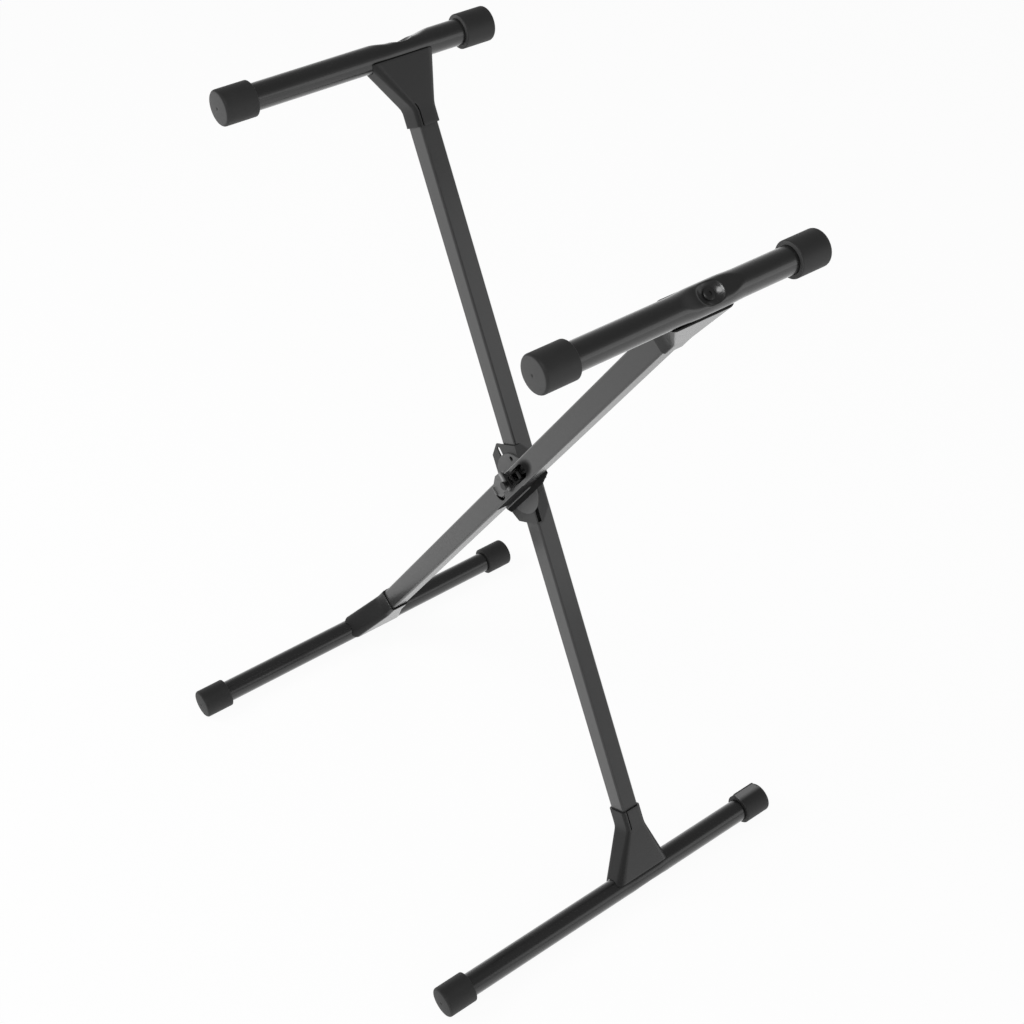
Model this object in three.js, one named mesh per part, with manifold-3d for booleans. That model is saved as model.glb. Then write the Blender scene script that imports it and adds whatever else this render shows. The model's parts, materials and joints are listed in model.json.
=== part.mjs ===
// Folding keyboard stand: two square-tube legs crossed at one pivot, each with a round
// arm bar at its top and a round foot bar at its bottom.
// Millimetres, +Z up. X runs across the open X shape and Y runs along the four bars.
// The origin lies on the floor, under the middle of the stand.
import * as THREE from "three";
import { mergeVertices } from "three/addons/utils/BufferGeometryUtils.js";
import Module from "manifold-3d";

const wasm = await Module();
wasm.setup();

// ---- Driving dimensions ----

// the open stand
const footSpread = 524; // between the axes of the foot bars
const armSpread = 487; // between the axes of the arm bars
const axisRise = 839.5; // from the foot axes up to the arm axes
const armLength = 321; // an arm bar over its two caps
const footLength = 488; // a foot bar over its two caps
const rearLegY = 52.7; // centre of the rear leg, from the middle of the bars
const frontLegY = 24.9; // centre of the front leg

// sections
const barRadius = 13.5;
const barWall = 1.8;
const legWidth = 22; // along Y
const legDepth = 25; // in the plane of the X
const legWall = 1.5;
const legCorner = 2.6; // outer corner radius
const clearance = 0.3; // between pieces that rest on each other

// rubber caps
const capRadius = 18;
const capLength = 37;
const capEnd = 4;
const capEdge = 2.4; // rounding of the end edge
const capFacets = 16;
const levellerReach = 12.5; // the levelling cap's corner, to the side of the bar axis

// pressed seat of each bar bolt
const pressShallow = 3.4; // wide flattening of the tube
const pressDeep = 3.6; // bowl round the bolt head, further down
const pressReach = 28; // where the flattening starts
const pressRim = 14; // rim of the bowl
const pressSeat = 8; // flat floor of the bowl

// bar bolts and the threaded plugs that they pull on
const boltRadius = 3;
const boltHeadRadius = 5.8;
const boltHeadHeight = 3.2;
const socketFlats = 4;
const socketDepth = 1.9;
const plugLength = 24;

// folded sheet gussets; distances run from the bar axis towards the middle of the leg
const sheet = 2;
const gussetBend = 1.5; // chamfer of the folded corners, inside
const flareFront = 34; // how far the wide end passes the leg towards -Y
const flareRear = 17; // and towards +Y
const armGusset = { plateEnd: 5, knee: 62, collarEnd: 77 };
const footGusset = { plateEnd: 9, knee: 70, collarEnd: 91 };
const slitWidth = 1.2;
const slitLength = 24;

// hub between the legs
const pivotRadius = 5;
const sleeveRadius = 7.5;
const guidePlateThickness = 1.6;
const discThickness = 1.4;
const discRadius = 35.5;
const saddleThickness = 1.6;
const saddleTop = 45; // the saddle plate's ends and free edge, from the pivot
const saddleBottom = 48;
const saddleReach = 37;
const saddleCorner = 14.5; // its cut-off corners
const flangeShort = 4; // its flange stops short of the leg's rear side
const flangeCorner = 12;
const eyeRadius = 3; // slanted eye in the saddle plate, from one [x, z] to the other
const eyeEnds = [
  [-20.3, 38.2],
  [-18, 31.2],
];
const reliefStart = 29; // relief slot along the saddle's fold, below the pivot
const reliefEnd = 46;
const reliefWidth = 4.5;
const saddleRivetLevels = [-11, 22];
const saddleRivetOffset = 2; // from the middle of the leg
const guideFoot = 47; // the guide plate's ends, from the pivot
const guideShoulder = 50;
const guideTip = 71;
const guideTipWidth = 5;
const guideDrop = 7; // how far it shows below the leg
const guideSetback = 1; // how far it stays inside the leg's upper side
const guideCorner = 12;
const guideRivetLevels = [-40, 58];
const washerThickness = 1.4;
const headThickness = 4.1;
const headFlats = 14;
const accessRadius = 9.6; // opening in the front leg's outer wall, over the bolt head
const nutFlats = 17;
const nutHeight = 7.2;

// lock pin and its holes in the disc
const lockPinRadius = 2.5;
const lockHoleRadius = 2.9;
const lockReach = 30; // from the pivot to the lock pin
const foldedAngle = 5.1; // included angle of the legs when folded for transport
const heightStep = 15; // included angle from one height to the next
const stepsWider = 2; // heights below the one that is drawn
const stepsNarrower = 2; // heights above it
const lockEngage = 3; // travel of the lock pin into the disc
const pinHeadRadius = 4.5;
const pinHeadHeight = 2.6;
const pinHeadGap = 1.3; // leaves room under the head for the lever's tilt
const pinCollarRadius = 5.4;
const pinCollarThickness = 2;
const springWire = 1.2;
const springTurns = 5;
const springCoilRadius = 4.3;
const springRoom = 1.2; // left between spring and collar for the last of the release travel

// release lever, drawn flat on the leg before it is lifted
const leverSheet = 2;
const leverTabStart = 8; // distances along the front leg from the pivot
const leverTabSlant = 20; // end of the tab's slanted edge
const leverTabShoulder = 31;
const leverTabEnd = 38;
const leverTailEnd = 55;
const leverHinge = 50;
const leverHingeDepth = 4.1; // hinge axis below the leg's outer wall
const leverTailHalf = 6.5;
const leverTabInner = 7.4; // the tab's edge below the middle of the leg
const leverLip = 4; // how far the lip folds over the leg's upper side
const leverEndRise = 2.6; // turned-up end for the finger
const fingerNotch = 3.6; // radius of the notch in the tab's lower edge
const fingerNotchAt = 22;
const earThickness = 1.8;
const earRadius = 4.6;
const hingePinRadius = 2;
const windowStart = 40.5; // window in the leg's wall that the lever's tail dips into
const windowEnd = 74;
const windowHalf = 8;

const rivetRadius = 2;
const rivetHeadRadius = 4;
const rivetHeadHeight = 1.6;

// ---- Worked out from the driving dimensions ----

const footAxisZ = capRadius;
const legRun = (footSpread + armSpread) / 2;
const lean = Math.atan2(legRun, axisRise);
const legLength = Math.hypot(legRun, axisRise);
const footReach = (legLength * footSpread) / (footSpread + armSpread);
const armReach = legLength - footReach;
const pivotZ = footAxisZ + footReach * Math.cos(lean);
const boltSeat = barRadius - pressShallow - pressDeep;
const legEndGap = barRadius + clearance;
const flatsToCorner = 1 / Math.cos(Math.PI / capFacets);

const frontLegOuterY = frontLegY - legWidth / 2;
const frontLegInnerY = frontLegY + legWidth / 2;
const guidePlateY = frontLegInnerY + clearance;
const discY = guidePlateY + guidePlateThickness + clearance;
const saddleY = discY + discThickness + clearance;
const rearLegInnerY = rearLegY - legWidth / 2;
const rearLegOuterY = rearLegY + legWidth / 2;

const headWasherY = frontLegOuterY + legWall + headThickness + 1;
const leverOuterY = frontLegOuterY - clearance - leverSheet;
const leverHingeY = frontLegOuterY + leverHingeDepth;
const leverArm = leverHinge - lockReach;
const leverRestLift = Math.asin(lockEngage / leverArm);

// ---- Helpers ----

/** A closed three.js geometry as a solid that can be joined and cut. */
function solid(geometry) {
  const bare = geometry.clone();
  bare.deleteAttribute("normal");
  bare.deleteAttribute("uv");
  const merged = mergeVertices(bare, 1e-4);
  return new wasm.Manifold(
    new wasm.Mesh({
      numProp: 3,
      vertProperties: new Float32Array(merged.attributes.position.array),
      triVerts: new Uint32Array(merged.index.array),
    }),
  );
}

/** The three.js geometry of a solid. */
function geometryOf(body) {
  const mesh = body.getMesh();
  const indexed = new THREE.BufferGeometry();
  indexed.setAttribute(
    "position",
    new THREE.BufferAttribute(mesh.vertProperties, 3),
  );
  indexed.setIndex(new THREE.BufferAttribute(mesh.triVerts, 1));
  const geometry = indexed.toNonIndexed();
  geometry.computeVertexNormals();
  return geometry;
}

const join = (first, ...others) =>
  others.reduce((body, other) => body.add(other), first);

const cut = (first, ...others) =>
  others.reduce((body, other) => body.subtract(other), first);

function box(x0, x1, y0, y1, z0, z1) {
  const geometry = new THREE.BoxGeometry(x1 - x0, y1 - y0, z1 - z0);
  geometry.translate((x0 + x1) / 2, (y0 + y1) / 2, (z0 + z1) / 2);
  return solid(geometry);
}

/** A rod along Z from z0 to z1 whose flats, not its corners, stand at the radius given. */
function rodZ(radius, z0, z1, sides = 20) {
  const corner = radius / Math.cos(Math.PI / sides);
  const geometry = new THREE.CylinderGeometry(corner, corner, z1 - z0, sides);
  geometry.rotateX(Math.PI / 2);
  geometry.translate(0, 0, (z0 + z1) / 2);
  return geometry;
}

const rodAlongZ = (radius, x, y, z0, z1, sides) =>
  solid(rodZ(radius, z0, z1, sides).translate(x, y, 0));

const rodAlongY = (radius, x, z, y0, y1, sides) =>
  solid(
    rodZ(radius, y0, y1, sides)
      .rotateX(-Math.PI / 2)
      .translate(x, 0, z),
  );

const rodAlongX = (radius, y, z, x0, x1, sides) =>
  solid(
    rodZ(radius, x0, x1, sides)
      .rotateY(Math.PI / 2)
      .translate(0, y, z),
  );

/** A ring or bush along Y. */
const bushAlongY = (outer, inner, x, z, y0, y1) =>
  cut(
    rodAlongY(outer, x, z, y0, y1),
    rodAlongY(inner, x, z, y0 - 1, y1 + 1),
  );

/** A body turned from a profile of [radius, height] points, its axis along Z. */
function turned(profile, sides = 24, startAngle = 0) {
  const points = profile.map(([r, z]) => new THREE.Vector2(r, z));
  const geometry = new THREE.LatheGeometry(points, sides, startAngle);
  geometry.rotateX(Math.PI / 2);
  return geometry;
}

/** A flat plate in the XZ plane, from y to y + thickness, with an outline of [x, z] points. */
function plateXZ(outline, y, thickness) {
  const shape = new THREE.Shape(outline.map(([x, z]) => new THREE.Vector2(x, z)));
  const geometry = new THREE.ExtrudeGeometry(shape, {
    depth: thickness,
    bevelEnabled: false,
  });
  geometry.rotateX(Math.PI / 2);
  geometry.translate(0, y + thickness, 0);
  return solid(geometry);
}

/** A slot with round ends between two [x, z] points, cut along Y. */
function slotAlongY(radius, from, to, y0, y1, sides) {
  const length = Math.hypot(to[0] - from[0], to[1] - from[1]);
  const sideX = (radius * (to[1] - from[1])) / length;
  const sideZ = (radius * (from[0] - to[0])) / length;
  return join(
    rodAlongY(radius, from[0], from[1], y0, y1, sides),
    rodAlongY(radius, to[0], to[1], y0, y1, sides),
    plateXZ(
      [
        [from[0] + sideX, from[1] + sideZ],
        [from[0] - sideX, from[1] - sideZ],
        [to[0] - sideX, to[1] - sideZ],
        [to[0] + sideX, to[1] + sideZ],
      ],
      y0,
      y1 - y0,
    ),
  );
}

/** A flat plate in the YZ plane, from x to x + thickness, with an outline of [y, z] points. */
function plateYZ(outline, x, thickness) {
  const shape = new THREE.Shape(outline.map(([y, z]) => new THREE.Vector2(y, z)));
  const geometry = new THREE.ExtrudeGeometry(shape, {
    depth: thickness,
    bevelEnabled: false,
  });
  geometry.rotateX(Math.PI / 2);
  geometry.rotateZ(Math.PI / 2);
  geometry.translate(x, 0, 0);
  return solid(geometry);
}

/** A rectangle with rounded corners, as a shape round the origin. */
function roundedRectangle(width, height, radius) {
  const shape = new THREE.Shape();
  const a = width / 2 - radius;
  const b = height / 2 - radius;
  shape.moveTo(a, -b - radius);
  shape.absarc(a, -b, radius, -Math.PI / 2, 0);
  shape.absarc(a, b, radius, 0, Math.PI / 2);
  shape.absarc(-a, b, radius, Math.PI / 2, Math.PI);
  shape.absarc(-a, -b, radius, Math.PI, Math.PI * 1.5);
  return shape;
}

/** A rounded bar of rectangular section along Z. */
function rectangularBar(width, depth, radius, z0, z1) {
  const geometry = new THREE.ExtrudeGeometry(
    roundedRectangle(depth, width, radius),
    { depth: z1 - z0, bevelEnabled: false, curveSegments: 2 },
  );
  geometry.translate(0, 0, z0);
  return solid(geometry);
}

/** A solid through rings of points, each ring in one plane and all turning the same way. */
function lofted(rings) {
  const count = rings[0].length;
  const positions = rings.flat(2);
  const index = [];
  for (let ring = 0; ring + 1 < rings.length; ring++) {
    for (let i = 0; i < count; i++) {
      const a = ring * count + i;
      const b = ring * count + ((i + 1) % count);
      index.push(a, b, a + count, b, b + count, a + count);
    }
  }
  const last = (rings.length - 1) * count;
  for (let i = 1; i + 1 < count; i++) {
    index.push(0, i + 1, i);
    index.push(last, last + i, last + i + 1);
  }
  const geometry = new THREE.BufferGeometry();
  geometry.setAttribute("position", new THREE.Float32BufferAttribute(positions, 3));
  geometry.setIndex(index);
  return solid(geometry);
}

// ---- Materials ----

const finish = (color, roughness, metalness) =>
  new THREE.MeshStandardMaterial({ color, roughness, metalness });

const powderCoat = finish(0x2c2d2e, 0.5, 0.0);
const gussetCoat = finish(0x2a2b2c, 0.6, 0.0);
const rubber = finish(0x1d1d1e, 0.85, 0.0);
const blackSteel = finish(0x202122, 0.42, 0.6);
const platedSteel = finish(0x9a9b9c, 0.35, 0.9);
const hubCoat = finish(0x3a3b3c, 0.55, 0.0);
const blackPlastic = finish(0x232323, 0.7, 0.0);

const stand = new THREE.Group();

/** Adds a named mesh of one solid to a group. */
function addPiece(group, name, body, material) {
  const mesh = new THREE.Mesh(geometryOf(body), material);
  mesh.name = name;
  group.add(mesh);
  return mesh;
}

// ---- Bars ----

const smooth = (t) => {
  const clamped = Math.min(1, Math.max(0, t));
  return clamped * clamped * (3 - 2 * clamped);
};

/** How deep the press pushes the tube's skin in, at a distance from the bolt axis. */
const pressDepth = (distance) =>
  pressShallow * smooth((pressReach - distance) / (pressReach - pressRim)) +
  pressDeep * smooth((pressRim - distance) / (pressRim - pressSeat));

/**
 * One skin of a bar as a solid. The press side is +1 where the bolt sits on top of the
 * bar as the leg points, and -1 where it sits below.
 */
function barSkin(radius, halfLength, boltY, pressSide) {
  const sides = 16;
  const offsets = [1, 0.75, 0.5, 0.41, 0.3, 0.14].map((part) => part * pressReach);
  const stations = [
    -halfLength,
    ...offsets.map((offset) => boltY - offset),
    ...offsets.reverse().map((offset) => boltY + offset),
    halfLength,
  ];
  const rings = stations.map((y) => {
    const ring = [];
    for (let i = 0; i < sides; i++) {
      const angle = (2 * Math.PI * (i + 0.5)) / sides;
      const x = radius * Math.sin(angle);
      const z = radius * Math.cos(angle);
      const ceiling = radius - pressDepth(Math.hypot(x, y - boltY));
      ring.push([x, y, pressSide * Math.min(pressSide * z, ceiling)]);
    }
    return ring;
  });
  return lofted(rings);
}

function barTube(lengthOverCaps, boltY, pressSide) {
  const half = lengthOverCaps / 2 - capEnd - clearance;
  return cut(
    barSkin(barRadius, half, boltY, pressSide),
    barSkin(barRadius - barWall, half + 1, boltY, pressSide),
    rodAlongZ(boltRadius + clearance, 0, boltY, -capRadius, capRadius),
  );
}

// ---- Rubber caps ----

/** The cup that slips over a bar's end. Its closed end is at z = 0 and its mouth is at +Z. */
function capCup() {
  const r = capRadius * flatsToCorner;
  const bore = (barRadius + clearance) * flatsToCorner;
  const profile = [
    [0, 0],
    [r - capEdge, 0],
    [r - capEdge * 0.3, capEdge * 0.3],
    [r, capEdge],
    [r, capLength - capEdge / 2],
    [r - capEdge / 2, capLength],
    [bore, capLength],
    [bore, capEnd],
    [0, capEnd],
  ];
  return solid(turned(profile, capFacets, Math.PI / capFacets));
}

/** The levelling cap has one square corner: turned downwards, it lifts its bar's end. */
function levellingCup() {
  const corner = lofted(
    [0, capLength].map((z) => [
      [0, 0, z],
      [0, capRadius, z],
      [capEdge - levellerReach, capRadius, z],
      [-levellerReach, capRadius - capEdge, z],
      [-levellerReach, 0, z],
    ]),
  );
  return cut(
    join(capCup(), corner),
    rodAlongZ(barRadius + clearance, 0, 0, capEnd, capLength + 1, capFacets),
  );
}

/** Turns a cup so that it closes the near (-Y) or the far (+Y) end of a bar. */
function capAtEnd(cup, end, lengthOverCaps) {
  return end < 0
    ? cup.rotate([-90, 0, 0]).translate([0, -lengthOverCaps / 2, 0])
    : cup.rotate([90, 0, 0]).translate([0, lengthOverCaps / 2, 0]);
}

// ---- Bar bolts, plugs and gussets ----

/** A button-head bolt along Z: the head's seat is at z = 0 and its shank points to -Z. */
function buttonBolt(shankLength) {
  const r = boltHeadRadius;
  const profile = [
    [0, -shankLength],
    [boltRadius, -shankLength],
    [boltRadius, 0],
    [r, 0],
    [r, boltHeadHeight * 0.35],
    [r * 0.82, boltHeadHeight * 0.8],
    [r * 0.5, boltHeadHeight],
    [0, boltHeadHeight],
  ];
  const socket = rodAlongZ(
    socketFlats / 2,
    0,
    0,
    boltHeadHeight - socketDepth,
    boltHeadHeight + 1,
    6,
  );
  return cut(solid(turned(profile, 14)), socket);
}

function threadedPlug(z0, z1) {
  const width = legWidth - 2 * (legWall + clearance);
  const depth = legDepth - 2 * (legWall + clearance);
  return cut(
    rectangularBar(width, depth, legCorner - legWall, z0, z1),
    rodAlongZ(boltRadius + clearance, 0, 0, z0 - 1, z1 + 1, 18),
  );
}

/** One skin of a gusset at one level: a rectangle with bent corners, c by c. */
function gussetRing(front, rear, half, c, z) {
  return [
    [half, front + c, z],
    [half, rear - c, z],
    [half - c, rear, z],
    [-half + c, rear, z],
    [-half, rear - c, z],
    [-half, front + c, z],
    [-half + c, front, z],
    [half - c, front, z],
  ];
}

/**
 * A gusset in the leg's frame. side is +1 at the arm end and -1 at the foot end, and
 * outer is the sign of X on the leg's upper side.
 */
function gusset(size, side, outer, legY) {
  const axisZ = side > 0 ? armReach : -footReach;
  const level = (distance) => axisZ - side * distance;
  const collarY = legWidth / 2 + clearance;
  const collarX = legDepth / 2 + clearance;
  const plateX = barRadius + clearance;
  const stations = (skin, overrun) => {
    const bend = gussetBend + skin * (2 - Math.SQRT2);
    const rings = [
      gussetRing(
        legY - collarY - flareFront - skin,
        legY + collarY + flareRear + skin,
        plateX + skin,
        bend,
        level(size.plateEnd - overrun),
      ),
      gussetRing(
        legY - collarY - skin,
        legY + collarY + skin,
        collarX + skin,
        bend,
        level(size.knee),
      ),
      gussetRing(
        legY - collarY - skin,
        legY + collarY + skin,
        collarX + skin,
        bend,
        level(size.collarEnd + overrun),
      ),
    ];
    return side > 0 ? rings.reverse() : rings;
  };
  const slitY = legY - collarY + gussetBend;
  const slitEnds = [level(size.collarEnd + 1), level(size.collarEnd - slitLength)];
  const slitX = [outer * collarX * 0.8, outer * (collarX + sheet + 1)];
  return cut(
    lofted(stations(sheet, 0)),
    lofted(stations(0, 1)),
    rodAlongY(plateX, 0, axisZ, legY - footLength / 2, legY + footLength / 2, capFacets),
    box(
      Math.min(...slitX),
      Math.max(...slitX),
      slitY,
      slitY + slitWidth,
      Math.min(...slitEnds),
      Math.max(...slitEnds),
    ),
  );
}

// ---- Legs ----

/** The square tube of a leg, without the holes of the hub. */
function legTube(legY) {
  const z0 = -footReach + legEndGap;
  const z1 = armReach - legEndGap;
  return cut(
    rectangularBar(legWidth, legDepth, legCorner, z0, z1),
    rectangularBar(
      legWidth - 2 * legWall,
      legDepth - 2 * legWall,
      legCorner - legWall,
      z0 - 1,
      z1 + 1,
    ),
  ).translate([0, legY, 0]);
}

/** One leg's group: its local +Z runs up the leg and its origin is on the pivot axis. */
function legGroup(leanSide) {
  const group = new THREE.Group();
  group.position.set(0, 0, pivotZ);
  group.rotation.y = leanSide * lean;
  stand.add(group);
  return group;
}

/** Everything at one end of a leg: bar, caps, bolt, plug and gusset. */
function legEnd(leg, end) {
  const { group, prefix, legY, outer, leanSide } = leg;
  const side = end === "arm" ? 1 : -1;
  const axisZ = side > 0 ? armReach : -footReach;
  const barLength = side > 0 ? armLength : footLength;
  const name = `${prefix}_${end}`;

  const bar = addPiece(group, `${name}_bar`, barTube(barLength, legY, side), powderCoat);
  bar.position.z = axisZ;

  for (const [place, sign] of [["near", -1], ["far", 1]]) {
    const levelling = place === "far" && name === "rear_foot";
    const cup = levelling ? levellingCup() : capCup();
    const cap = addPiece(
      group,
      levelling ? "levelling_cap" : `${name}_cap_${place}`,
      capAtEnd(cup, sign, barLength),
      rubber,
    );
    cap.position.z = axisZ;
    cap.rotation.y = -leanSide * lean;
  }

  const shankLength = boltSeat + clearance + legEndGap + plugLength * 0.8;
  const bolt = addPiece(group, `${name}_bolt`, buttonBolt(shankLength), blackSteel);
  bolt.position.set(0, legY, axisZ + side * (boltSeat + clearance));
  bolt.rotation.x = side > 0 ? 0 : Math.PI;

  const plugNear = axisZ - side * (legEndGap + clearance);
  const plugFar = plugNear - side * plugLength;
  const plug = addPiece(
    group,
    `${name}_plug`,
    threadedPlug(Math.min(plugNear, plugFar), Math.max(plugNear, plugFar)),
    blackPlastic,
  );
  plug.position.y = legY;

  const size = side > 0 ? armGusset : footGusset;
  addPiece(group, `${name}_gusset`, gusset(size, side, outer, legY), gussetCoat);
}

// ---- Hub: pieces fixed to the rear leg ----

/** Where the disc is drilled, as [x, z] in the rear leg's frame, from an included angle. */
const lockHole = (degrees) => {
  const angle = THREE.MathUtils.degToRad(degrees);
  return [lockReach * Math.sin(angle), lockReach * Math.cos(angle)];
};

const drawnAngle = THREE.MathUtils.radToDeg(2 * lean);
const lockAngles = [foldedAngle];
for (let step = -stepsNarrower; step <= stepsWider; step++) {
  lockAngles.push(drawnAngle + step * heightStep);
}

const lockDrills = (y0, y1) =>
  lockAngles
    .map(lockHole)
    .map(([x, z]) => rodAlongY(lockHoleRadius, x, z, y0 - 1, y1 + 1, 10));

const pivotBore = (y0, y1) =>
  rodAlongY(pivotRadius + clearance, 0, 0, y0 - 1, y1 + 1);

function rearHub(group) {
  const foldX = legDepth / 2 + clearance + saddleThickness;
  const face = plateXZ(
    [
      [foldX, -saddleBottom],
      [foldX, saddleTop],
      [saddleCorner - saddleReach, saddleTop],
      [-saddleReach, saddleTop - saddleCorner],
      [-saddleReach, saddleCorner - saddleBottom],
      [saddleCorner - saddleReach, -saddleBottom],
    ],
    saddleY,
    saddleThickness,
  );
  const flangeReach = rearLegOuterY - flangeShort;
  const flange = plateYZ(
    [
      [saddleY, -saddleBottom],
      [flangeReach - flangeCorner, -saddleBottom],
      [flangeReach, saddleCorner - saddleBottom],
      [flangeReach, saddleTop - saddleCorner],
      [flangeReach - flangeCorner, saddleTop],
      [saddleY, saddleTop],
    ],
    legDepth / 2 + clearance,
    saddleThickness,
  );
  const faceBack = saddleY + saddleThickness;
  const eye = slotAlongY(eyeRadius, ...eyeEnds, saddleY - 1, faceBack + 1, 12);
  const reliefSlot = box(
    legDepth / 2,
    foldX + 1,
    faceBack + clearance,
    faceBack + clearance + reliefWidth,
    -reliefEnd,
    -reliefStart,
  );
  const rivetY = rearLegY + saddleRivetOffset;
  const rivetHoles = saddleRivetLevels.map((z) =>
    rodAlongX(rivetRadius + clearance, rivetY, z, 0, foldX + 1, 12),
  );
  const saddle = cut(
    join(face, flange),
    eye,
    reliefSlot,
    pivotBore(saddleY, faceBack),
    ...lockDrills(saddleY, faceBack),
    ...rivetHoles,
  );
  addPiece(group, "saddle_plate", saddle, hubCoat);

  const disc = cut(
    rodAlongY(discRadius, 0, 0, discY, discY + discThickness, 36),
    pivotBore(discY, discY + discThickness),
    ...lockDrills(discY, discY + discThickness),
  );
  addPiece(group, "locking_disc", disc, hubCoat);

  const tube = cut(
    legTube(rearLegY),
    pivotBore(rearLegInnerY, rearLegOuterY),
    ...rivetHoles,
  );
  addPiece(group, "rear_leg_tube", tube, powderCoat);

  const rivetSeat = legDepth / 2 - legWall - clearance;
  saddleRivetLevels.forEach((z, i) => {
    const rivet = join(
      rodAlongX(rivetRadius, rivetY, z, rivetSeat - rivetHeadHeight, foldX + clearance + 1, 12),
      rodAlongX(rivetHeadRadius, rivetY, z, rivetSeat - rivetHeadHeight, rivetSeat, 12),
      rodAlongX(
        rivetHeadRadius,
        rivetY,
        z,
        foldX + clearance,
        foldX + clearance + rivetHeadHeight,
        12,
      ),
    );
    addPiece(group, `saddle_rivet_${i + 1}`, rivet, blackSteel);
  });

  const sleeveFrom = rearLegInnerY + legWall + clearance;
  const sleeveTo = rearLegOuterY - legWall - clearance;
  addPiece(
    group,
    "rear_pivot_sleeve",
    bushAlongY(sleeveRadius, pivotRadius + clearance, 0, 0, sleeveFrom, sleeveTo),
    platedSteel,
  );

  const nutWasherY = rearLegOuterY + clearance;
  addPiece(
    group,
    "nut_washer",
    bushAlongY(
      nutFlats / 2 + 2,
      pivotRadius + clearance,
      0,
      0,
      nutWasherY,
      nutWasherY + washerThickness,
    ),
    blackSteel,
  );

  const nutY = nutWasherY + washerThickness + clearance;
  const nut = cut(
    join(
      rodAlongY(nutFlats / 2, 0, 0, nutY, nutY + nutHeight * 0.75, 6),
      rodAlongY(nutFlats / 2 - 1.4, 0, 0, nutY, nutY + nutHeight),
    ),
    pivotBore(nutY, nutY + nutHeight),
  );
  addPiece(group, "pivot_nut", nut, blackSteel);

  const boltSeatY = headWasherY - clearance;
  const pivotBolt = join(
    rodAlongY(headFlats / 2, 0, 0, boltSeatY - headThickness, boltSeatY, 6),
    rodAlongY(pivotRadius, 0, 0, boltSeatY - 1, nutY + nutHeight + 2),
  );
  addPiece(group, "pivot_bolt", pivotBolt, blackSteel);
}

// ---- Hub: pieces carried by the front leg ----

function guidePlate() {
  const lowerEdge = legDepth / 2 + guideDrop;
  const upperEdge = guideSetback - legDepth / 2;
  return plateXZ(
    [
      [upperEdge, guideCorner - guideFoot],
      [upperEdge + guideCorner, -guideFoot],
      [lowerEdge - guideCorner / 2, -guideFoot],
      [lowerEdge, guideCorner / 2 - guideFoot],
      [lowerEdge, guideShoulder],
      [lowerEdge - guideTipWidth, guideTip],
      [lowerEdge - 2 * guideTipWidth, guideTip],
      [upperEdge, guideShoulder],
    ],
    guidePlateY,
    guidePlateThickness,
  );
}

function frontHub(group) {
  const rivetHoles = guideRivetLevels.map((z) =>
    rodAlongY(rivetRadius + clearance, 0, z, frontLegY, guidePlateY + 4, 12),
  );
  const lockBore = (y0, y1) =>
    rodAlongY(lockPinRadius + clearance, 0, lockReach, y0, y1, 16);

  const wallY0 = frontLegOuterY - 1;
  const wallY1 = frontLegOuterY + legWall + 2;
  const windowCut = slotAlongY(
    windowHalf,
    [0, windowStart + windowHalf],
    [0, windowEnd - windowHalf],
    wallY0,
    wallY1,
  );
  const hingeBore = rodAlongX(
    hingePinRadius + clearance,
    leverHingeY,
    leverHinge,
    -legDepth,
    legDepth,
    16,
  );
  const tube = cut(
    legTube(frontLegY),
    pivotBore(frontLegY, frontLegInnerY),
    rodAlongY(accessRadius, 0, 0, wallY0, wallY1),
    windowCut,
    hingeBore,
    lockBore(frontLegOuterY - 1, frontLegInnerY + 1),
    ...rivetHoles,
  );
  addPiece(group, "front_leg_tube", tube, powderCoat);

  const guide = cut(
    guidePlate(),
    pivotBore(guidePlateY, guidePlateY + guidePlateThickness),
    lockBore(guidePlateY - 1, guidePlateY + guidePlateThickness + 1),
    ...rivetHoles,
  );
  addPiece(group, "guide_plate", guide, blackPlastic);

  const rivetSeat = frontLegInnerY - legWall - clearance;
  guideRivetLevels.forEach((z, i) => {
    const rivet = join(
      rodAlongY(rivetHeadRadius, 0, z, rivetSeat - rivetHeadHeight, rivetSeat, 12),
      rodAlongY(rivetRadius, 0, z, rivetSeat - 1, guidePlateY + guidePlateThickness, 12),
    );
    addPiece(group, `guide_rivet_${i + 1}`, rivet, blackSteel);
  });

  addPiece(
    group,
    "head_washer",
    bushAlongY(
      headFlats / 2 + 1.6,
      pivotRadius + clearance,
      0,
      0,
      headWasherY,
      headWasherY + washerThickness,
    ),
    blackSteel,
  );
  const sleeveFrom = headWasherY + washerThickness + clearance;
  const sleeveTo = frontLegInnerY - legWall - clearance;
  addPiece(
    group,
    "front_pivot_sleeve",
    bushAlongY(sleeveRadius, pivotRadius + clearance, 0, 0, sleeveFrom, sleeveTo),
    platedSteel,
  );

  const hingePin = rodAlongX(
    hingePinRadius,
    leverHingeY,
    leverHinge,
    -legDepth / 2,
    legDepth / 2,
    16,
  );
  addPiece(group, "lever_hinge_pin", hingePin, blackSteel);

  addLockPin(group);
  addLever(group);
}

/** The pin stands just clear of the disc, as with the lever held open. */
function addLockPin(group) {
  const tipY = discY - clearance;
  const headY = leverOuterY - lockEngage - pinHeadGap;
  const collarY = frontLegY + 2;
  const pin = join(
    rodAlongY(lockPinRadius, 0, lockReach, headY - 1, tipY, 16),
    rodAlongY(pinHeadRadius, 0, lockReach, headY - pinHeadHeight, headY, 20),
    rodAlongY(pinCollarRadius, 0, lockReach, collarY, collarY + pinCollarThickness, 20),
  );
  addPiece(group, "lock_pin", pin, blackSteel);

  const springFrom = frontLegOuterY + legWall + clearance + springWire / 2;
  const springTo = collarY - springRoom - springWire / 2;
  addPiece(group, "lock_spring", coilSpring(springFrom, springTo), platedSteel);
}

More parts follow.
